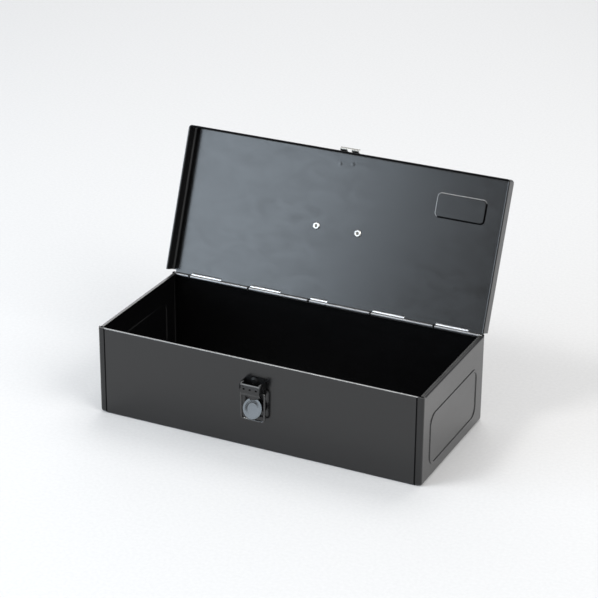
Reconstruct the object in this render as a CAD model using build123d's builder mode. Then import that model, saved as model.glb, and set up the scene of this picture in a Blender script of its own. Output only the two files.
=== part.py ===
"""Trunk-type steel tool box: folded body, flat lid on a full-length hinge, draw latch, folding handle.

Millimetres, +X to the right, +Y to the back, +Z up. The origin is the centre of the base.
The box stands open, with the lid leaning back on its stop, the latch hanging and the handle hanging.
The lid's pieces are drawn closed and then swung open about the hinge pin.
"""

import os
from math import cos, radians, sin

from build123d import *

# Body shell
body_length = 330.0
body_depth = 147.0
body_height = 88.4
sheet = 0.8
hem_thickness = 2.0
hem_height = 6.4
wrapper_bend = 1.5
wrapper_half_length = 158.7

# End caps
cap_strip = 6.0
cap_bend = 2.6
cap_corner = 3.2
cap_rim_width = 4.4
cap_flange_reach = 9.0
cap_flange_top = 81.8
cap_flange_inset = 0.85
cap_rear_notch = 4.2
bead_length = 110.6
bead_height = 49.7
bead_centre_z = 37.2
bead_corner = 10.0
bead_width = 3.4
bead_rise = 0.7
bead_taper = 50

# Hinge
hinge_y = body_depth / 2 - 1.8
hinge_z = body_height - 1.7
hinge_half_length = 163.0
knuckle_radius = 1.85
leaf_sheet = 0.65
pin_radius = 1.15
bore_radius = knuckle_radius - leaf_sheet
knuckle_wrap = 305.0
knuckle_pitch = 65.1
lid_knuckle = 32.6
short_knuckle = 17.5
first_knuckle = -145.0
knuckle_play = 0.25
knuckle_gap = 2.2
body_leaf_height = 14.0
lid_leaf_depth = 13.0

# Lid
lid_width = 335.2
lid_reach = 147.8
lid_inner_rise = 2.0
skirt_depth = 14.8
skirt_rear = 3.8
lid_fold = 3.0
lid_corner = 3.3
lid_hem_height = 6.5
lid_rear_overhang = 0.45
lid_open_angle = 111.2
label_length = 49.2
label_width = 22.8
label_x = 120.2
label_reach = 113.3
label_depth = 0.9
label_corner = 4.0

# Catch on the lid's front edge
catch_half_width = 9.6
catch_sheet = 0.7
catch_back_reach = 131.0
catch_trough_reach = 149.75
catch_trough_rise = 1.9
catch_trough_radius = 1.15
catch_lip_rise = 3.9
catch_slot = 4.7

# Draw latch, with distances measured out from the front wall
latch_plate_sheet = 1.0
latch_half_width = 10.6
latch_plate_bottom = 55.0
latch_plate_top = 72.0
lever_pivot_out = 7.5
lever_pivot_z = 66.0
ear_radius = 4.3
lever_sheet = 0.9
lever_half_width = 9.5
lever_web_top_out = 10.5
lever_web_out = 13.7
lever_web_top = 69.0
lever_web_bottom = 61.0
lever_horn_top = 70.3
lever_step_bottom = 55.2
lever_neck_top = 57.5
lever_neck_half_width = 6.5
disc_out = 6.3
disc_radius = 9.7
disc_z = 43.3
disc_dish = 1.3
latch_pin_radius = 1.2
latch_pin_head = 0.35
running_gap = 0.05
bail_radius = 1.0
bail_pivot_out = 5.2
bail_pivot_z = 60.0
bail_drop = 28.6
bail_half_top = 12.1
bail_half_bottom = 11.6
bail_bend = 2.8
bail_end_x = 7.6
latch_rivet_levels = {"lower_latch_rivet": 58.0, "upper_latch_rivet": 69.0}

# Folding handle on the lid
handle_reach = 72.5
handle_rivet_x = 21.85
handle_plate_length = 88.4
handle_plate_width = 18.0
handle_plate_sheet = 1.2
handle_ear_radius = 3.6
handle_axis_rise = 3.6
handle_rod = 2.2
handle_end_x = 41.5
handle_half_span = 52.0
handle_leg = 34.0

# Tubular rivets
rivet_shank = 2.0
rivet_bore = 1.2
rivet_head_radius = 4.0
rivet_head_height = 1.5
rivet_roll_radius = 3.5
rivet_roll_height = 1.3

front_y = -body_depth / 2
back_y = body_depth / 2
lid_inner_z = hinge_z + lid_inner_rise
lid_outer_z = lid_inner_z + sheet
hinge_axis = Axis((0, hinge_y, hinge_z), (1, 0, 0))

os.makedirs("parts", exist_ok=True)


def save(part, name):
    """Label a finished piece and write its file."""
    part.label = name
    export_step(part, f"parts/{name}.step")


def swing_open(part):
    """Turn a piece that is drawn with the lid closed to where it is with the lid open."""
    return part.rotate(hinge_axis, -lid_open_angle)


# ---------------------------------------------------------------- body wrapper
# One sheet: hemmed front rim, front wall, bottom and back wall.
hem_loop = (hem_thickness - sheet) / 2
front_mid = front_y + sheet / 2
rear_wall_top = hinge_z - knuckle_radius - 0.25
with BuildPart() as body_wrapper:
    with BuildSketch(Plane.YZ.offset(-wrapper_half_length)):
        with BuildLine():
            hem_centre = (front_mid + hem_loop, body_height - hem_thickness / 2)
            hem_arc = CenterArc(hem_centre, hem_loop, 0, 180)
            Line(hem_arc @ 0, hem_arc @ 0 + (0, hem_thickness / 2 - hem_height))
            FilletPolyline(
                hem_arc @ 1,
                (front_mid, sheet / 2),
                (-front_mid, sheet / 2),
                (-front_mid, rear_wall_top),
                radius=wrapper_bend - sheet / 2,
            )
        trace(line_width=sheet)
    extrude(amount=2 * wrapper_half_length)
    with Locations(*[(0, front_y, z) for z in latch_rivet_levels.values()]):
        Cylinder(rivet_shank + running_gap, 4 * sheet, rotation=(90, 0, 0), mode=Mode.SUBTRACT)
save(body_wrapper.part, "body_wrapper")


# ---------------------------------------------------------------- end caps
# A pressed pan: face, rounded strip flush with the wrapper, flanges inside it, rim turned in.
def cap_outline(inset):
    """Outline of the cap seen along X, drawn inside a sketch on a YZ plane."""
    width = body_depth - 2 * inset
    with Locations((0, body_height / 2 + cap_corner)):
        Rectangle(width, body_height + 2 * cap_corner - 2 * inset)
    fillet(vertices(), cap_corner - inset)


def bead_ring(half_width):
    """Ring of the stiffening bead on the cap's face, drawn inside a sketch on a YZ plane."""
    with Locations((0, bead_centre_z)):
        RectangleRounded(bead_length + 2 * half_width, bead_height + 2 * half_width, bead_corner + half_width)
        RectangleRounded(
            bead_length - 2 * half_width,
            bead_height - 2 * half_width,
            bead_corner - half_width,
            mode=Mode.SUBTRACT,
        )


half_length = body_length / 2
seam_x = half_length - cap_strip
with BuildPart() as right_end_cap:
    with BuildSketch(Plane.YZ.offset(seam_x)):
        cap_outline(0)
    extrude(amount=cap_strip)
    fillet(faces().sort_by(Axis.X)[-1].edges(), cap_bend)
    offset(amount=-sheet, openings=faces().sort_by(Axis.X)[0])
    # joggle and inner flange
    with BuildSketch(Plane.YZ.offset(seam_x)):
        cap_outline(0)
    extrude(amount=sheet)
    with BuildSketch(Plane.YZ.offset(half_length - cap_flange_reach)):
        cap_outline(cap_flange_inset)
    extrude(amount=cap_flange_reach - cap_strip)
    with BuildSketch(Plane.YZ.offset(half_length - cap_flange_reach)):
        cap_outline(cap_flange_inset + sheet)
    extrude(amount=cap_flange_reach - cap_strip + sheet, mode=Mode.SUBTRACT)
    with Locations((seam_x, 0, cap_flange_top)):
        Box(
            2 * cap_flange_reach,
            body_depth,
            body_height,
            align=(Align.MAX, Align.CENTER, Align.MIN),
            mode=Mode.SUBTRACT,
        )
    split(bisect_by=Plane.XY.offset(body_height), keep=Keep.BOTTOM)
    # rim: the top of the face is turned in between the two upright bends
    with Locations((half_length, 0, body_height)):
        Box(2 * cap_strip, body_depth - 2 * cap_corner, 2 * cap_bend, mode=Mode.SUBTRACT)
    with BuildSketch(Plane.XZ.offset(-(body_depth / 2 - cap_corner))):
        with BuildLine():
            FilletPolyline(
                (half_length - sheet / 2, body_height - cap_bend),
                (half_length - sheet / 2, body_height - sheet / 2),
                (half_length - cap_rim_width, body_height - sheet / 2),
                radius=cap_bend - sheet / 2 - 0.01,
            )
        trace(line_width=sheet)
    extrude(amount=body_depth - 2 * cap_corner)
    # the rear end of the rim is notched for the end of the hinge
    with Locations((hinge_half_length + 0.2, back_y - cap_rear_notch, rear_wall_top)):
        Box(4 * cap_strip, 2 * cap_rear_notch, body_height, align=(Align.MAX, Align.MIN, Align.MIN), mode=Mode.SUBTRACT)
    # stiffening bead, pressed outwards
    with BuildSketch(Plane.YZ.offset(half_length)):
        bead_ring(bead_width / 2)
    extrude(amount=bead_rise, taper=bead_taper)
    with BuildSketch(Plane.YZ.offset(half_length - sheet)):
        bead_ring(bead_width / 2 - sheet / 2)
    extrude(amount=bead_rise, taper=bead_taper, mode=Mode.SUBTRACT)
save(right_end_cap.part, "right_end_cap")

with BuildPart() as left_end_cap:
    add(mirror(right_end_cap.part, about=Plane.YZ, mode=Mode.PRIVATE))
save(left_end_cap.part, "left_end_cap")


# ---------------------------------------------------------------- hinge
# Knuckles of the lid leaf sit towards the right of their gaps, against the body's knuckles.
def lid_knuckle_spans():
    """Left and right ends of the lid leaf's knuckles."""
    spans = []
    for i in range(5):
        left = first_knuckle + i * knuckle_pitch
        width = short_knuckle if i == 2 else lid_knuckle
        spans.append((left, left + width))
    return spans


def body_knuckle_spans():
    """Left and right ends of the body leaf's knuckles: what the lid's knuckles and gaps leave."""
    lefts = [-hinge_half_length] + [right + knuckle_play for _, right in lid_knuckle_spans()]
    rights = [left - knuckle_gap for left, _ in lid_knuckle_spans()] + [hinge_half_length]
    return list(zip(lefts, rights))


def rolled_knuckle(start_angle, wrap):
    """Centreline of a rolled knuckle about the hinge pin, drawn inside a line on a YZ sketch."""
    return CenterArc((hinge_y, hinge_z), (knuckle_radius + bore_radius) / 2, start_angle, wrap)


leaf_mid = (knuckle_radius + bore_radius) / 2
body_leaf_y = back_y + leaf_sheet / 2
body_leaf_bottom = hinge_z - body_leaf_height
with BuildPart() as hinge_body_leaf:
    for left, right in body_knuckle_spans():
        with BuildSketch(Plane.YZ.offset(left)):
            with BuildLine():
                roll = rolled_knuckle(-90, -knuckle_wrap)
                FilletPolyline(
                    roll @ 0,
                    (body_leaf_y, hinge_z - leaf_mid),
                    (body_leaf_y, rear_wall_top - 2),
                    radius=0.575,
                )
            trace(line_width=leaf_sheet)
        extrude(amount=right - left)
    with Locations((0, back_y, body_leaf_bottom)):
        Box(
            2 * hinge_half_length,
            leaf_sheet,
            rear_wall_top - 1 - body_leaf_bottom,
            align=(Align.CENTER, Align.MIN, Align.MIN),
        )
save(hinge_body_leaf.part, "hinge_body_leaf")

lid_leaf_z = lid_outer_z + running_gap + leaf_sheet / 2
tab_reach = 2.5
tab_rise_reach = 4.0
with BuildPart() as hinge_lid_leaf:
    for left, right in lid_knuckle_spans():
        with BuildSketch(Plane.YZ.offset(left)):
            with BuildLine():
                roll = rolled_knuckle(90, -knuckle_wrap)
                FilletPolyline(
                    roll @ 0,
                    (hinge_y - tab_reach, hinge_z + leaf_mid),
                    (hinge_y - tab_rise_reach, lid_leaf_z),
                    (hinge_y - tab_rise_reach - 2, lid_leaf_z),
                    radius=0.5,
                )
            trace(line_width=leaf_sheet)
        extrude(amount=right - left)
    with Locations((0, hinge_y - tab_rise_reach - 0.4, lid_outer_z + running_gap)):
        Box(
            2 * hinge_half_length,
            lid_leaf_depth - tab_rise_reach,
            leaf_sheet,
            align=(Align.CENTER, Align.MAX, Align.MIN),
        )
save(swing_open(hinge_lid_leaf.part), "hinge_lid_leaf")

with BuildPart() as hinge_pin:
    with BuildSketch(Plane.YZ.offset(-hinge_half_length)):
        with Locations((hinge_y, hinge_z)):
            Circle(pin_radius)
    extrude(amount=2 * hinge_half_length)
save(hinge_pin.part, "hinge_pin")

# ---------------------------------------------------------------- lid
lid_front = hinge_y - lid_reach
lid_rear = hinge_y + lid_rear_overhang
lid_mid_y = (lid_front + lid_rear) / 2
lid_depth = lid_rear - lid_front
skirt_bottom = lid_outer_z - skirt_depth
skirt_end_y = hinge_y - skirt_rear
with BuildPart() as lid:
    with BuildSketch(Plane.XY.offset(skirt_bottom)):
        with Locations((0, lid_mid_y)):
            Rectangle(lid_width, lid_depth)
        fillet(vertices().group_by(Axis.Y)[0], lid_corner)
    extrude(amount=skirt_depth)
    top_edges = faces().sort_by(Axis.Z)[-1].edges().sort_by(Axis.Y)[:-1]
    fillet(top_edges, lid_fold)
    offset(amount=-sheet, openings=[faces().sort_by(Axis.Z)[0], faces().sort_by(Axis.Y)[-1]])
    # hem along the free edge of the skirt
    with BuildSketch(Plane.XY.offset(skirt_bottom)):
        with Locations((0, lid_mid_y)):
            Rectangle(lid_width, lid_depth)
        fillet(vertices().group_by(Axis.Y)[0], lid_corner)
        with Locations((0, lid_mid_y + hem_thickness)):
            RectangleRounded(
                lid_width - 2 * hem_thickness, lid_depth, lid_corner - hem_thickness, mode=Mode.SUBTRACT
            )
    extrude(amount=lid_hem_height)
    rim_edges = edges().group_by(Axis.Z)[0].sort_by(Axis.Y)[:-2]
    fillet(rim_edges, hem_thickness * 0.45)
    # the skirts stop short of the hinge, and the panel is narrower behind them
    for side in (-1, 1):
        with Locations((side * (hinge_half_length + 5), skirt_end_y, skirt_bottom - 1)):
            Box(
                10,
                2 * skirt_rear + 2,
                skirt_depth + 2,
                align=(Align.CENTER, Align.MIN, Align.MIN),
                mode=Mode.SUBTRACT,
            )
    # slots for the hinge tabs
    for left, right in lid_knuckle_spans():
        with Locations(((left + right) / 2, hinge_y - (tab_reach + tab_rise_reach) / 2 - 0.05, lid_inner_z)):
            Box(right - left + 0.4, 1.8, 4 * sheet, mode=Mode.SUBTRACT)
    # label panel, pressed towards the inside
    with BuildSketch(Plane.XY.offset(lid_inner_z)):
        with Locations((label_x, hinge_y - label_reach)):
            RectangleRounded(label_length, label_width, label_corner)
    extrude(amount=-label_depth, taper=45)
    with BuildSketch(Plane.XY.offset(lid_outer_z)):
        with Locations((label_x, hinge_y - label_reach)):
            RectangleRounded(label_length - sheet, label_width - sheet, label_corner - sheet / 2)
    extrude(amount=-label_depth, taper=45, mode=Mode.SUBTRACT)
    # holes for the handle's rivets
    with Locations(*[(side * handle_rivet_x, hinge_y - handle_reach, lid_inner_z) for side in (-1, 1)]):
        Cylinder(rivet_shank + running_gap, 6 * sheet, mode=Mode.SUBTRACT)
save(swing_open(lid.part), "lid")

# ---------------------------------------------------------------- catch
# A strip on top of the lid, dipping into a trough for the bail in front of the skirt.
catch_mid = lid_outer_z + running_gap + catch_sheet / 2
trough_y = hinge_y - catch_trough_reach
trough_z = hinge_z + catch_trough_rise
trough_mid = catch_trough_radius + catch_sheet / 2
with BuildPart() as lid_catch:
    with BuildSketch(Plane.YZ.offset(-catch_half_width)):
        with BuildLine():
            FilletPolyline(
                (hinge_y - catch_back_reach, catch_mid),
                (trough_y + trough_mid, catch_mid),
                (trough_y + trough_mid, trough_z),
                radius=0.75,
            )
            trough = CenterArc((trough_y, trough_z), trough_mid, 0, -180)
            Line(trough @ 1, (trough_y - trough_mid, hinge_z + catch_lip_rise))
        trace(line_width=catch_sheet)
    extrude(amount=2 * catch_half_width)
    # slot between the two feet
    with Locations((0, trough_y - 0.5, catch_mid)):
        Box(catch_slot, 3.0, 8.0, align=(Align.CENTER, Align.MIN, Align.CENTER), mode=Mode.SUBTRACT)
    corner_edges = edges().filter_by(Axis.Z).group_by(Axis.Y)[-1]
    fillet(corner_edges, 3)
save(swing_open(lid_catch.part), "lid_catch")


# ---------------------------------------------------------------- draw latch
def out(distance):
    """Y of a point that stands this far out from the front wall."""
    return front_y - distance


pivot = (out(lever_pivot_out), lever_pivot_z)
bail_pivot = (out(bail_pivot_out), bail_pivot_z)
ear_bottom = lever_pivot_z - ear_radius
ear_inner_x = lever_half_width + 0.2
with BuildPart() as latch_base:
    with BuildSketch(Plane.XZ.offset(-front_y)):
        with Locations((0, (latch_plate_bottom + latch_plate_top) / 2)):
            RectangleRounded(2 * latch_half_width, latch_plate_top - latch_plate_bottom, 2.5)
    extrude(amount=latch_plate_sheet)
    for x in (-latch_half_width, ear_inner_x):
        with BuildSketch(Plane.YZ.offset(x)):
            with Locations((out(lever_pivot_out / 2), lever_pivot_z)):
                Rectangle(lever_pivot_out, 2 * ear_radius)
            with Locations(pivot):
                Circle(ear_radius)
                Circle(latch_pin_radius + running_gap, mode=Mode.SUBTRACT)
        extrude(amount=latch_half_width - ear_inner_x)
    with Locations(*[(0, front_y, z) for z in latch_rivet_levels.values()]):
        Cylinder(rivet_shank + running_gap, 4 * sheet, rotation=(90, 0, 0), mode=Mode.SUBTRACT)
save(latch_base.part, "latch_base")

web_top_mid = out(lever_web_top_out - lever_sheet / 2)
web_mid = out(lever_web_out - lever_sheet / 2)
disc_mid = out(disc_out - lever_sheet / 2)
with BuildPart() as latch_lever:
    # web: upper plate, step inwards, neck down to the thumb disc
    with BuildSketch(Plane.YZ.offset(-lever_half_width)):
        with BuildLine():
            FilletPolyline(
                (web_top_mid, lever_web_top),
                (web_mid, lever_web_bottom),
                (disc_mid, lever_step_bottom),
                (disc_mid, disc_z + disc_radius - lever_sheet),
                radius=1.0,
            )
        trace(line_width=lever_sheet)
    extrude(amount=2 * lever_half_width)
    for side in (-1, 1):
        with Locations((side * lever_half_width, disc_mid, lever_neck_top)):
            Box(
                2 * (lever_half_width - lever_neck_half_width),
                lever_web_out,
                lever_web_out,
                align=(Align.CENTER, Align.CENTER, Align.MAX),
                mode=Mode.SUBTRACT,
            )
    # side flanges with the bores for the lever pin and the bail
    for x in (-lever_half_width, lever_half_width - lever_sheet):
        with BuildSketch(Plane.YZ.offset(x)):
            with BuildLine():
                Polyline(
                    (out(lever_web_top_out), lever_horn_top),
                    (out(6.0), 69.8),
                    (out(3.9), 68.0),
                    (out(3.3), 62.2),
                    (out(1.15), 60.6),
                    (out(1.15), 57.6),
                    (out(6.0), 56.2),
                    (out(lever_web_out - lever_sheet), lever_web_bottom - 0.2),
                    close=True,
                )
            make_face()
            with Locations(pivot):
                Circle(latch_pin_radius + running_gap, mode=Mode.SUBTRACT)
            with Locations(bail_pivot):
                Circle(bail_radius + 0.08, mode=Mode.SUBTRACT)
        extrude(amount=lever_sheet)
    # round dished thumb piece
    with BuildSketch(Plane.YZ):
        with BuildLine():
            Polyline(
                (disc_mid, disc_z + disc_radius),
                (disc_mid, disc_z + disc_radius - 1.7),
                (disc_mid + disc_dish * 0.75, disc_z + disc_radius - 4.4),
                (disc_mid + disc_dish, disc_z + disc_radius - 7.0),
                (disc_mid + disc_dish, disc_z),
            )
        trace(line_width=lever_sheet)
    revolve(axis=Axis((0, disc_mid, disc_z), (0, 1, 0)))
    # three small slots through the upper plate
    with Locations(*[(x, (web_top_mid + web_mid) / 2, 64.6) for x in (-6.2, 0, 6.2)]):
        Box(2.0, 4 * lever_sheet, 1.5, mode=Mode.SUBTRACT)
save(latch_lever.part, "latch_lever")

with BuildPart() as latch_bail:
    with BuildLine(Plane.XZ.offset(-bail_pivot[0])):
        FilletPolyline(
            (-bail_end_x, bail_pivot_z),
            (-bail_half_top, bail_pivot_z),
            (-bail_half_bottom, bail_pivot_z - bail_drop),
            (bail_half_bottom, bail_pivot_z - bail_drop),
            (bail_half_top, bail_pivot_z),
            (bail_end_x, bail_pivot_z),
            radius=bail_bend,
        )
    with BuildSketch(Plane((-bail_end_x, bail_pivot[0], bail_pivot_z), z_dir=(-1, 0, 0))):
        Circle(bail_radius)
    sweep()
save(latch_bail.part, "latch_bail")

with BuildPart() as latch_pin:
    with BuildSketch(Plane.YZ.offset(-latch_half_width - latch_pin_head)):
        with Locations(pivot):
            Circle(latch_pin_radius)
    extrude(amount=2 * (latch_half_width + latch_pin_head))
    for side in (-1, 1):
        with Locations((side * (latch_half_width + latch_pin_head / 2 + 0.02), pivot[0], lever_pivot_z)):
            Cylinder(1.9, latch_pin_head, rotation=(0, 90, 0))
save(latch_pin.part, "latch_pin")


# ---------------------------------------------------------------- tubular rivets
def tubular_rivet(grip):
    """Rivet standing on its head's seat: domed head up, hollow shank and rolled end down."""
    with BuildPart() as rivet:
        with BuildSketch(Plane.XZ):
            with BuildLine():
                Polyline(
                    (rivet_bore, 0),
                    (rivet_head_radius, 0),
                    (rivet_head_radius, 0.4),
                    (rivet_head_radius * 0.55, rivet_head_height),
                    (0, rivet_head_height),
                    (0, 0.3),
                    (rivet_bore, 0),
                )
            make_face()
            with BuildLine():
                Polyline(
                    (rivet_bore, 0),
                    (rivet_shank, 0),
                    (rivet_shank, -grip),
                    (rivet_roll_radius, -grip),
                    (rivet_roll_radius, -grip - rivet_roll_height * 0.55),
                    (rivet_roll_radius - 0.7, -grip - rivet_roll_height),
                    (rivet_bore + 0.5, -grip - rivet_roll_height),
                    (rivet_bore, -grip - rivet_roll_height * 0.55),
                    (rivet_bore, 0),
                )
            make_face()
        revolve(axis=Axis.Z)
    return rivet.part


latch_rivet_blank = tubular_rivet(latch_plate_sheet + sheet)
for name, level in latch_rivet_levels.items():
    with BuildPart() as latch_rivet:
        with Locations(Plane((0, out(latch_plate_sheet), level), x_dir=(1, 0, 0), z_dir=(0, -1, 0))):
            add(latch_rivet_blank)
    save(latch_rivet.part, name)

# ---------------------------------------------------------------- folding handle
plate_z = lid_outer_z + running_gap
handle_y = hinge_y - handle_reach
handle_z = lid_outer_z + handle_axis_rise
ear_x = handle_plate_length / 2
with BuildPart() as handle_plate:
    with BuildSketch(Plane.XY.offset(plate_z)):
        with Locations((0, handle_y)):
            Rectangle(handle_plate_length, handle_plate_width)
            fillet(vertices(), 4)
            with GridLocations(2 * handle_rivet_x, 0, 2, 1):
                Circle(rivet_shank + running_gap, mode=Mode.SUBTRACT)
    extrude(amount=handle_plate_sheet)
    for x in (-ear_x, ear_x - handle_plate_sheet):
        with BuildSketch(Plane.YZ.offset(x)):
            with Locations((handle_y, plate_z)):
                Rectangle(2 * handle_ear_radius, handle_z - plate_z, align=(Align.CENTER, Align.MIN))
            with Locations((handle_y, handle_z)):
                Circle(handle_ear_radius)
                Circle(handle_rod + running_gap, mode=Mode.SUBTRACT)
        extrude(amount=handle_plate_sheet)
save(swing_open(handle_plate.part), "handle_plate")

handle_rivet_blank = tubular_rivet(handle_plate_sheet + running_gap + sheet)
for side, name in ((-1, "left_handle_rivet"), (1, "right_handle_rivet")):
    with BuildPart() as handle_rivet:
        with Locations((side * handle_rivet_x, handle_y, plate_z + handle_plate_sheet)):
            add(handle_rivet_blank)
    save(swing_open(handle_rivet.part), name)

# The handle hangs plumb from the plate's ears: it is drawn where it hangs.
lean = radians(lid_open_angle)
pivot_y = hinge_y - handle_reach * cos(lean) + (handle_z - hinge_z) * sin(lean)
pivot_z = hinge_z + handle_reach * sin(lean) + (handle_z - hinge_z) * cos(lean)
with BuildPart() as carry_handle:
    with BuildLine(Plane.XZ.offset(-pivot_y)) as handle_path:
        FilletPolyline(
            (-handle_end_x, pivot_z),
            (-handle_half_span, pivot_z),
            (-handle_half_span, pivot_z - handle_leg),
            (handle_half_span, pivot_z - handle_leg),
            (handle_half_span, pivot_z),
            (handle_end_x, pivot_z),
            radius=4.0,
        )
    with BuildSketch(Plane((-handle_end_x, pivot_y, pivot_z), z_dir=(-1, 0, 0))):
        Circle(handle_rod)
    sweep()
save(carry_handle.part, "carry_handle")
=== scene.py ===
import math

import bpy
from mathutils import Matrix, Vector


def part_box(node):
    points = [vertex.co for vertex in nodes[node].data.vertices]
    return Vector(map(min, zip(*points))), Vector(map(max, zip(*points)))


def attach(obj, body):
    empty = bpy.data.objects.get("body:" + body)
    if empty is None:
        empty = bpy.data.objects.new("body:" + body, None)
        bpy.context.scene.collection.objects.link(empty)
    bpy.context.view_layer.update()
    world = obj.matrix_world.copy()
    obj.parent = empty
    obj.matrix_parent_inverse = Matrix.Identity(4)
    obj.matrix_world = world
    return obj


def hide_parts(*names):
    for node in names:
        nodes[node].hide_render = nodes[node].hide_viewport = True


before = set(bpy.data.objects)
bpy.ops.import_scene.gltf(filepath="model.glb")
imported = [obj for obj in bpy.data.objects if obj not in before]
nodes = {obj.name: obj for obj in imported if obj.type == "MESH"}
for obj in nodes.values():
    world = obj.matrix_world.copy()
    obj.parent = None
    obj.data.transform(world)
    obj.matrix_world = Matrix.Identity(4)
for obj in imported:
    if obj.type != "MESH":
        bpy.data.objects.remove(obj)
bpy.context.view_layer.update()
scene = bpy.context.scene

MM = 0.001

# ---------------------------------------------------------------- places on the box and its open lid
FRONT_Y = -73.44 * MM
BOX_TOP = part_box("body_wrapper")[1][2]
BOX_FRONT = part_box("body_wrapper")[0][1]
SEAM_X = 158.1 * MM
HINGE = Vector((0, 71.7, 86.7)) * MM
OPEN = math.radians(111.2)
TOWARDS_FRONT = Vector((0, -math.cos(OPEN), math.sin(OPEN)))
OUTWARDS = Vector((0, math.sin(OPEN), math.cos(OPEN)))
LID_REACH = max((v.co - HINGE).dot(TOWARDS_FRONT) for v in nodes["lid"].data.vertices)
LID_HEM = min((v.co - HINGE).dot(OUTWARDS) for v in nodes["lid"].data.vertices)
LABEL_X = 120.2 * MM
LABEL_REACH = 113.3 * MM
LABEL_HALF_LENGTH = 24.6 * MM
LABEL_HALF_WIDTH = 11.4 * MM
LABEL_CORNER = 4.0 * MM
LID_INNER_RISE = 2.0


def lid_point(x, reach, rise):
    """A point on the open lid, from millimetres: reach towards its front edge, rise out of its outer face."""
    return HINGE + (Vector((x, 0, 0)) + TOWARDS_FRONT * reach + OUTWARDS * rise) * MM


# ---------------------------------------------------------------- node helpers
class Nodes:
    """Short way to build a node material."""

    def __init__(self, name):
        self.material = bpy.data.materials.new(name)
        self.material.use_nodes = True
        self.tree = self.material.node_tree
        self.tree.nodes.clear()
        self.out = self.tree.nodes.new("ShaderNodeOutputMaterial")

    def add(self, kind, values=None, **settings):
        node = self.tree.nodes.new(kind)
        for key, value in settings.items():
            setattr(node, key, value)
        for key, value in (values or {}).items():
            self.put(node.inputs[key], value)
        return node

    def put(self, socket, value):
        if isinstance(value, bpy.types.NodeSocket):
            self.tree.links.new(value, socket)
        else:
            socket.default_value = value

    def position(self, scale=(1, 1, 1), rotation=(0, 0, 0), offset=(0, 0, 0)):
        where = self.add("ShaderNodeTexCoord").outputs["Object"]
        values = {"Vector": where, "Scale": scale, "Rotation": rotation, "Location": offset}
        return self.add("ShaderNodeMapping", values).outputs["Vector"]

    def axis(self, name, output="Object"):
        """One coordinate of the surface's place, or of its normal."""
        source = self.add("ShaderNodeTexCoord").outputs[output]
        return self.add("ShaderNodeSeparateXYZ", {"Vector": source}).outputs[name]

    def noise(self, vector, scale, detail, rough, distortion=0.0):
        values = {
            "Vector": vector,
            "Scale": scale,
            "Detail": detail,
            "Roughness": rough,
            "Distortion": distortion,
        }
        return self.add("ShaderNodeTexNoise", values).outputs["Fac"]

    def spread(self, value, low, high, to_low, to_high, smooth=False):
        """Map low to high onto to_low to to_high, and hold the ends outside that."""
        node = self.add(
            "ShaderNodeMapRange",
            {"Value": value, "From Min": low, "From Max": high, "To Min": to_low, "To Max": to_high},
            interpolation_type="SMOOTHSTEP" if smooth else "LINEAR",
        )
        return node.outputs["Result"]

    def math(self, operation, a, b=0.0):
        node = self.add("ShaderNodeMath", operation=operation)
        self.put(node.inputs[0], a)
        self.put(node.inputs[1], b)
        return node.outputs[0]

    def times(self, a, b):
        return self.math("MULTIPLY", a, b)

    def minus(self, a, b):
        return self.math("SUBTRACT", a, b)

    def size(self, value):
        """A number without its sign."""
        return self.math("ABSOLUTE", value)

    def mix(self, factor, a, b):
        node = self.add("ShaderNodeMix", data_type="RGBA")
        self.put(node.inputs["Factor"], factor)
        self.put(node.inputs["A"], a)
        self.put(node.inputs["B"], b)
        return node.outputs["Result"]

    def near(self, value, centre, half, soft):
        """One within half of the centre, falling to nothing over soft."""
        return self.spread(self.size(self.minus(value, centre)), half, half + soft, 1.0, 0.0)

    def length(self, vector):
        return self.add("ShaderNodeVectorMath", {0: vector}, operation="LENGTH").outputs["Value"]

    def apart(self, point, keep=(1, 1, 1)):
        """Distance from a point, or from a line where keep leaves an axis out."""
        offset = tuple(-c * k for c, k in zip(point, keep))
        return self.length(self.position(scale=keep, offset=offset))

    def along_lid(self, direction):
        """Distance from the hinge axis along one direction of the lid."""
        from_hinge = self.position(offset=tuple(-HINGE))
        node = self.add("ShaderNodeVectorMath", {0: from_hinge, 1: tuple(direction)}, operation="DOT_PRODUCT")
        return node.outputs["Value"]

    def bump(self, height, distance, strength=1.0, normal=None):
        node = self.add("ShaderNodeBump", {"Height": height, "Distance": distance, "Strength": strength})
        if normal is not None:
            self.put(node.inputs["Normal"], normal)
        return node.outputs["Normal"]

    def finish(self, **values):
        shader = self.add("ShaderNodeBsdfPrincipled")
        for key, value in values.items():
            self.put(shader.inputs[key.replace("_", " ")], value)
        self.tree.links.new(shader.outputs[0], self.out.inputs["Surface"])
        return self.material


def assign(material, *names):
    for name in names:
        mesh = nodes[name].data
        mesh.materials.clear()
        mesh.materials.append(material)


# ---------------------------------------------------------------- black paint
BLACK = (0.003, 0.003, 0.0033, 1)
DUST = (0.22, 0.21, 0.2, 1)
# Grey of the painted highlights along edges.
HIGHLIGHT_GREY = (0.27, 0.27, 0.268, 1)
FULL_SHINE = 0.5
NO_SHINE = 0.02


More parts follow.
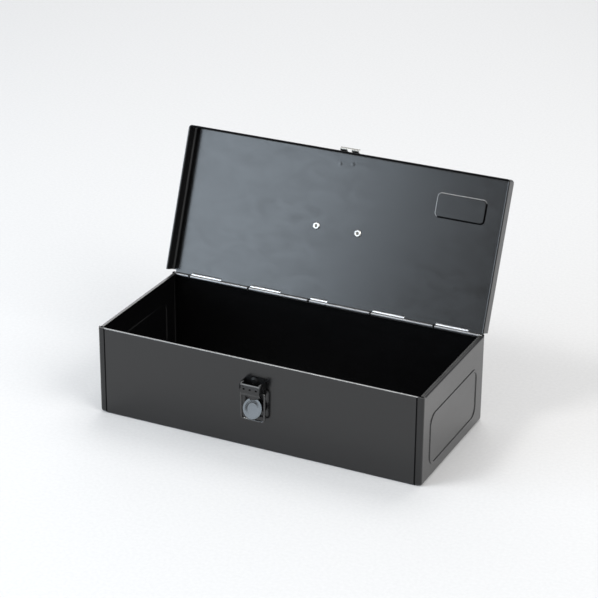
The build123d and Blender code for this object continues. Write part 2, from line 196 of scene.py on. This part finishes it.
def paint(name, rough, waviness, ior=1.6, painted_highlight=None, matt=None, gloss=None, dents=(), step=None):
    """Semi-gloss black enamel on pressed sheet: orange peel, slow waves of the sheet, dust and light scuffs.

    The highlight mask gives painted highlights along edges, matt that of places with no shine, at a dark joint and
    as painted shade, gloss the IOR where it varies, dents the middles of small marks that are bump only, step the
    height of a bump along a pressed border.
    """
    n = Nodes(name)
    where = n.position()
    peel = n.noise(where, 900.0, 2.0, 0.55)
    waves = n.noise(where, 11.0, 1.0, 0.4)
    dust = n.noise(where, 2600.0, 3.0, 0.7)
    specks = n.spread(dust, 0.72, 0.8, 0.0, 1.0)
    smear = n.noise(n.position(scale=(1, 1, 2.2)), 34.0, 4.0, 0.6, 1.2)
    scratch = n.noise(n.position(scale=(1.2, 1.2, 40.0), rotation=(0.3, 0.15, 0.2)), 210.0, 2.0, 0.6)
    scratches = n.spread(scratch, 0.735, 0.76, 0.0, 1.0)
    smeared = n.spread(smear, 0.3, 0.7, rough - 0.03, rough + 0.04)
    roughness = n.math("ADD", smeared, n.times(scratches, 0.06))
    colour = n.mix(n.times(specks, 0.05), BLACK, DUST)
    # Painted highlight: grey mixed in where the highlight mask is set.
    if painted_highlight:
        light = n.times(painted_highlight(n), n.spread(smear, 0.3, 0.6, 0.75, 1.0))
        colour = n.mix(light, colour, HIGHLIGHT_GREY)
    normal = n.bump(waves, waviness)
    normal = n.bump(peel, 0.01 * MM, 0.6, normal)
    for dent in dents:
        hollow = n.spread(n.apart(dent), 0.4 * MM, 2.6 * MM, 1.0, 0.0, True)
        normal = n.bump(hollow, 0.08 * MM, 1.0, normal)
    if step:
        normal = n.bump(step(n), 0.5 * MM, 1.0, normal)
    values = {
        "Base_Color": colour,
        "Roughness": roughness,
        "Normal": normal,
        "IOR": gloss(n) if gloss else ior,
    }
    if matt:
        values["Specular_IOR_Level"] = n.spread(matt(n), 0.0, 1.0, FULL_SHINE, NO_SHINE)
    return n.finish(**values)


# The masks below follow what is light or dark in the photo. They stay on the surface and don't move with the light.
def painted_hem_highlight(n):
    """Painted highlight along the hemmed top edge of the front wall."""
    hem = n.spread(n.axis("Z"), BOX_TOP - 0.7 * MM, BOX_TOP - 0.4 * MM, 0.0, 1.0)
    return n.times(hem, n.spread(n.axis("Y"), 0.0, 10 * MM, 1.0, 0.0))


def painted_rim_highlight(n):
    """Painted highlight along the top edge of the end caps, fainter."""
    return n.spread(n.axis("Z"), BOX_TOP - 0.6 * MM, BOX_TOP - 0.3 * MM, 0.0, 0.16)


def front_seam(n):
    """A dark line along the joint between front wall and end caps."""
    joint = n.near(n.size(n.axis("X")), SEAM_X, 0.45 * MM, 0.15 * MM)
    return n.times(joint, n.spread(n.axis("Y"), BOX_FRONT + 3 * MM, BOX_FRONT + 4 * MM, 1.0, 0.0))


def cap_gloss(n):
    """IOR of the end caps: highest on their flat outer faces, lowest inside."""
    outward = n.times(n.math("SIGN", n.axis("X")), n.axis("X", "Normal"))
    inside = n.spread(outward, -0.9, -0.5, 0.3, 0.0)
    return n.minus(n.spread(outward, 0.85, 0.97, 1.55, 2.05), inside)


def lid_rim(n):
    """The lid's front wall, dull all over and dullest along its hem, as painted shade."""
    reach = n.along_lid(TOWARDS_FRONT)
    wall = n.spread(reach, LID_REACH - 2.2 * MM, LID_REACH - 1.8 * MM, 0.0, 1.0)
    hem = n.spread(n.along_lid(OUTWARDS), LID_HEM + 2.4 * MM, LID_HEM + 3 * MM, 1.0, 0.45)
    return n.times(wall, hem)


def label_lit_side(n):
    """One on the label panel's borders towards the lid's front edge and its left, which get a painted highlight;
    the other borders get painted shade.
    """
    upper = n.spread(n.along_lid(TOWARDS_FRONT), LABEL_REACH + 8.5 * MM, LABEL_REACH + 9 * MM, 0.0, 1.0)
    left = n.spread(n.axis("X"), LABEL_X - 22.5 * MM, LABEL_X - 22 * MM, 1.0, 0.0)
    return n.math("MAXIMUM", upper, left)


def label_border(n):
    """Distance from the rounded border of the lid's label panel, negative inside it."""
    from_middle = n.size(n.minus(n.axis("X"), LABEL_X))
    from_centre = n.size(n.minus(n.along_lid(TOWARDS_FRONT), LABEL_REACH))
    across = n.minus(from_middle, LABEL_HALF_LENGTH - LABEL_CORNER)
    upwards = n.minus(from_centre, LABEL_HALF_WIDTH - LABEL_CORNER)
    corner = {"X": n.math("MAXIMUM", across, 0.0), "Y": n.math("MAXIMUM", upwards, 0.0)}
    return n.minus(n.length(n.add("ShaderNodeCombineXYZ", corner).outputs["Vector"]), LABEL_CORNER)


def label_step(n):
    """One inside the label panel, falling to nothing across its border."""
    return n.spread(label_border(n), -0.9 * MM, 0.3 * MM, 1.0, 0.0, True)


def lid_painted_shade(n):
    """Painted shade, without shine: the lid's front wall, and the dark sides of the label panel's border."""
    shaded = n.times(n.minus(1.0, label_lit_side(n)), 0.95)
    border = n.times(n.near(label_border(n), 0.2 * MM, 0.5 * MM, 0.2 * MM), shaded)
    return n.math("MAXIMUM", lid_rim(n), border)


def painted_label_highlight(n):
    """Painted highlight on the light sides of the label panel's border."""
    return n.times(n.near(label_border(n), -0.1 * MM, 0.3 * MM, 0.3 * MM), label_lit_side(n))


def painted_lever_highlight(n):
    """Painted highlight on the lever's top band and ear tips."""
    height = n.axis("Z")
    outside = n.spread(n.axis("Y"), FRONT_Y - 9.5 * MM, FRONT_Y - 9 * MM, 1.0, 0.0)
    band = n.times(n.near(height, 68.6 * MM, 0.4 * MM, 0.4 * MM), outside)
    tips = n.spread(height, 69.5 * MM, 69.9 * MM, 0.0, 1.0)
    return n.times(n.math("MAXIMUM", band, tips), 0.6)


WELDS = [lid_point(x, reach, LID_INNER_RISE) for x, reach in ((-7.75, 135.25), (5.25, 136.5))]
# Roughness and IOR are set by the brightness in the photo, not by what enamel has.
body_paint = paint("body_paint", 0.22, 0.1 * MM, painted_highlight=painted_hem_highlight, matt=front_seam)
cap_paint = paint("cap_paint", 0.2, 0.08 * MM, painted_highlight=painted_rim_highlight, matt=front_seam, gloss=cap_gloss)
lid_paint = paint("lid_paint", 0.22, 0.04 * MM, painted_highlight=painted_label_highlight, matt=lid_painted_shade, dents=WELDS, step=label_step)
latch_paint = paint("latch_paint", 0.14, 0.02 * MM, painted_highlight=painted_lever_highlight)
bail_paint = paint("bail_paint", 0.12, 0.01 * MM, 1.8)
rivet_paint = paint("rivet_paint", 0.5, 0.02 * MM, 1.3)
assign(body_paint, "body_wrapper")
assign(cap_paint, "left_end_cap", "right_end_cap")
assign(lid_paint, "lid")
assign(latch_paint, "latch_lever", "latch_pin")
assign(bail_paint, "latch_bail")
assign(rivet_paint, "latch_base", "upper_latch_rivet", "lower_latch_rivet")


# ---------------------------------------------------------------- bright plating
def shade(colour, red, green, blue):
    return (colour[0] * red, colour[1] * green, colour[2] * blue, 1)


def plating(name, colour, rough, streak_scale, dull=None):
    """Bright plate on rolled sheet or wire: rolling streaks, fine grain, patches a little darker and warmer.

    dull gives the mask of what is painted darker than the rest, as painted shade.
    """
    n = Nodes(name)
    where = n.position()
    streaks = n.noise(n.position(scale=streak_scale), 260.0, 3.0, 0.6)
    patches = n.noise(where, 70.0, 3.0, 0.6, 0.6)
    grain = n.noise(where, 2200.0, 2.0, 0.6)
    tint = n.mix(n.spread(patches, 0.4, 0.7, 0.0, 0.5), colour, shade(colour, 0.88, 0.87, 0.84))
    if dull:
        tint = n.mix(dull(n), tint, shade(colour, 0.3, 0.3, 0.3))
    patchy = n.spread(patches, 0.3, 0.7, rough - 0.05, rough + 0.07)
    roughness = n.math("ADD", patchy, n.spread(streaks, 0.3, 0.7, -0.03, 0.05))
    normal = n.bump(n.math("ADD", streaks, n.times(grain, 0.6)), 0.01 * MM, 0.5)
    return n.finish(Base_Color=tint, Metallic=1.0, Roughness=roughness, Normal=normal)


def barrel_painted_shade(n):
    """The rolled knuckles, against the flat leaves and tabs; they are painted darker as painted shade."""
    return n.spread(n.apart(HINGE, (0, 1, 1)), 2.0 * MM, 2.2 * MM, 1.0, 0.0)


sheet_plate = plating("sheet_plate", (0.72, 0.72, 0.7, 1), 0.3, (1, 14, 14))
catch_plate = plating("catch_plate", (0.3, 0.3, 0.29, 1), 0.36, (1, 14, 14))
hinge_plate = plating("hinge_plate", (0.74, 0.75, 0.77, 1), 0.34, (1, 16, 16), barrel_painted_shade)
# The hinge pin is near black: painted shade in the gaps between the knuckles.
pin_painted_shade = plating("pin_painted_shade", (0.012, 0.012, 0.012, 1), 0.5, (1, 20, 20))
wire_plate = plating("wire_plate", (0.72, 0.72, 0.7, 1), 0.26, (12, 12, 1))
rivet_plate = plating("rivet_plate", (0.6, 0.59, 0.57, 1), 0.34, (6, 6, 6))
assign(hinge_plate, "hinge_body_leaf", "hinge_lid_leaf")
assign(pin_painted_shade, "hinge_pin")
assign(catch_plate, "lid_catch")
assign(sheet_plate, "handle_plate")
assign(wire_plate, "carry_handle")
assign(rivet_plate, "left_handle_rivet", "right_handle_rivet")

# ---------------------------------------------------------------- lever with its thumb disc tilted
# Angles, flattening and shift are chosen so that the brightness is as in the photo. They aren't measured.
DISC_Y = FRONT_Y - 5.9 * MM
DISC_Z = 43.3 * MM
DISC_TOP = 52.0 * MM
DISC_TILT = math.radians(21)
DISC_YAW = math.radians(4)
DISH = ((8.0, 0.0), (5.3, 0.98), (2.7, 1.3), (0.0, 1.3))
DISH_FLATTENING = 0.8
NECK_TOP = 57.0 * MM
WEB_TOP = 69.0 * MM
WEB_HEIGHT = 8.0 * MM
WEB_SHIFT = 2.0 * MM
WEB_OUT = 9.6 * MM
WEB_LEAN = 3.4 * MM


def limited(value):
    return min(max(value, 0.0), 1.0)


def dish_depth(radius):
    """Depth in mm of the pressed dish at a radius in metres."""
    radius /= MM
    for (outer, shallow), (inner, deep) in zip(DISH, DISH[1:]):
        if inner <= radius <= outer:
            return shallow + (deep - shallow) * (outer - radius) / (outer - inner)
    return 0.0


def bend(point):
    """The disc turns about its own middle, its lower edge outwards, and the neck leans in to meet it.

    Above the neck, the foot of the web moves inwards and its bores stay where they are.
    """
    if point.z > NECK_TOP:
        proud = limited((FRONT_Y - WEB_OUT - point.y) / WEB_LEAN)
        low = limited((WEB_TOP - point.z) / WEB_HEIGHT)
        return Vector((point.x, point.y + WEB_SHIFT * proud * low, point.z))
    share = limited((NECK_TOP - point.z) / (NECK_TOP - DISC_TOP))
    if share < 1.0:
        inwards = share * (DISC_TOP - DISC_Z) * math.sin(DISC_TILT)
        return Vector((point.x, point.y + inwards, point.z))
    height = point.z - DISC_Z
    dish = DISH_FLATTENING * dish_depth(math.hypot(point.x, height)) * MM
    depth = point.y - DISC_Y - dish - point.x * math.tan(DISC_YAW)
    turned_y = DISC_Y + depth * math.cos(DISC_TILT) + height * math.sin(DISC_TILT)
    turned_z = DISC_Z + height * math.cos(DISC_TILT) - depth * math.sin(DISC_TILT)
    return Vector((point.x, turned_y, turned_z))


lever_mesh = nodes["latch_lever"].data.copy()
for vertex in lever_mesh.vertices:
    vertex.co = bend(vertex.co)
lever_mesh.update()
lever = bpy.data.objects.new("latch_lever_tilted", lever_mesh)
scene.collection.objects.link(lever)
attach(lever, "lever_body")
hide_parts("latch_lever")


# ---------------------------------------------------------------- studio
def floor_material():
    n = Nodes("studio_floor")
    grain = n.noise(n.position(), 300.0, 2.0, 0.5)
    tone = n.mix(n.spread(grain, 0.3, 0.7, 0.0, 1.0), (0.635, 0.635, 0.64, 1), (0.665, 0.665, 0.67, 1))
    return n.finish(Base_Color=tone, Roughness=0.9, Specular_IOR_Level=0.2)


bpy.ops.mesh.primitive_plane_add(size=30)
floor = bpy.context.object
floor.name = "studio_floor"
floor.data.materials.append(floor_material())

world = bpy.data.worlds.new("studio")
world.use_nodes = True
scene.world = world
background = world.node_tree.nodes["Background"]
background.inputs["Color"].default_value = (0.97, 0.985, 1.0, 1)
background.inputs["Strength"].default_value = 0.5

AIM = Vector((0, 0, 0.1))


def direction(azimuth, elevation):
    """Out from the object: azimuth 0 is straight in front, positive to the right. Angles in radians."""
    flat = math.cos(elevation)
    return Vector((math.sin(azimuth) * flat, -math.cos(azimuth) * flat, math.sin(elevation)))


def at(azimuth, elevation, distance):
    """A place round the object, from angles in degrees."""
    return direction(math.radians(azimuth), math.radians(elevation)) * distance + AIM


def softbox(name, location, size, power, colour=(1, 1, 1)):
    light = bpy.data.lights.new(name, "AREA")
    light.shape = "RECTANGLE"
    light.size, light.size_y = size
    light.energy = power
    light.color = colour
    holder = bpy.data.objects.new(name, light)
    scene.collection.objects.link(holder)
    holder.location = location
    holder.rotation_euler = (AIM - location).to_track_quat("-Z", "Y").to_euler()


softbox("left_softbox", at(-50, 16, 2.2), (2.1, 1.1), 35, (0.76, 0.88, 1.0))
softbox("top_softbox", Vector((0.0, 1.1, 2.1)), (1.3, 1.1), 17, (1.0, 0.985, 0.96))
softbox("high_softbox", at(-44, 57, 2.0), (0.5, 0.5), 12, (1.0, 0.99, 0.97))
softbox("right_softbox", at(75, 40, 2.4), (1.6, 1.6), 33, (1.0, 0.985, 0.96))
softbox("back_softbox", at(-154, 24, 2.6), (1.7, 1.3), 11)

# ---------------------------------------------------------------- camera
azimuth, elevation, roll = (math.radians(v) for v in (25.59, 24.24, 0.45))
CAMERA_TARGET = Vector((8.06, 0, 122.39)) * MM
CAMERA_DISTANCE = 1.92847
back = direction(azimuth, elevation)
level = Vector((math.cos(azimuth), math.sin(azimuth), 0))
upright = back.cross(level)
right = level * math.cos(roll) + upright * math.sin(roll)
up = upright * math.cos(roll) - level * math.sin(roll)
place = CAMERA_TARGET + back * CAMERA_DISTANCE
camera_data = bpy.data.cameras.new("camera")
camera_data.sensor_width = 36.0
camera_data.lens = 125.70
camera_data.clip_start = 0.01
camera_data.clip_end = 100.0
camera = bpy.data.objects.new("camera", camera_data)
scene.collection.objects.link(camera)
camera.matrix_world = Matrix(
    (
        (right.x, up.x, back.x, place.x),
        (right.y, up.y, back.y, place.y),
        (right.z, up.z, back.z, place.z),
        (0, 0, 0, 1),
    )
)
scene.camera = camera
scene.view_settings.view_transform = "Standard"
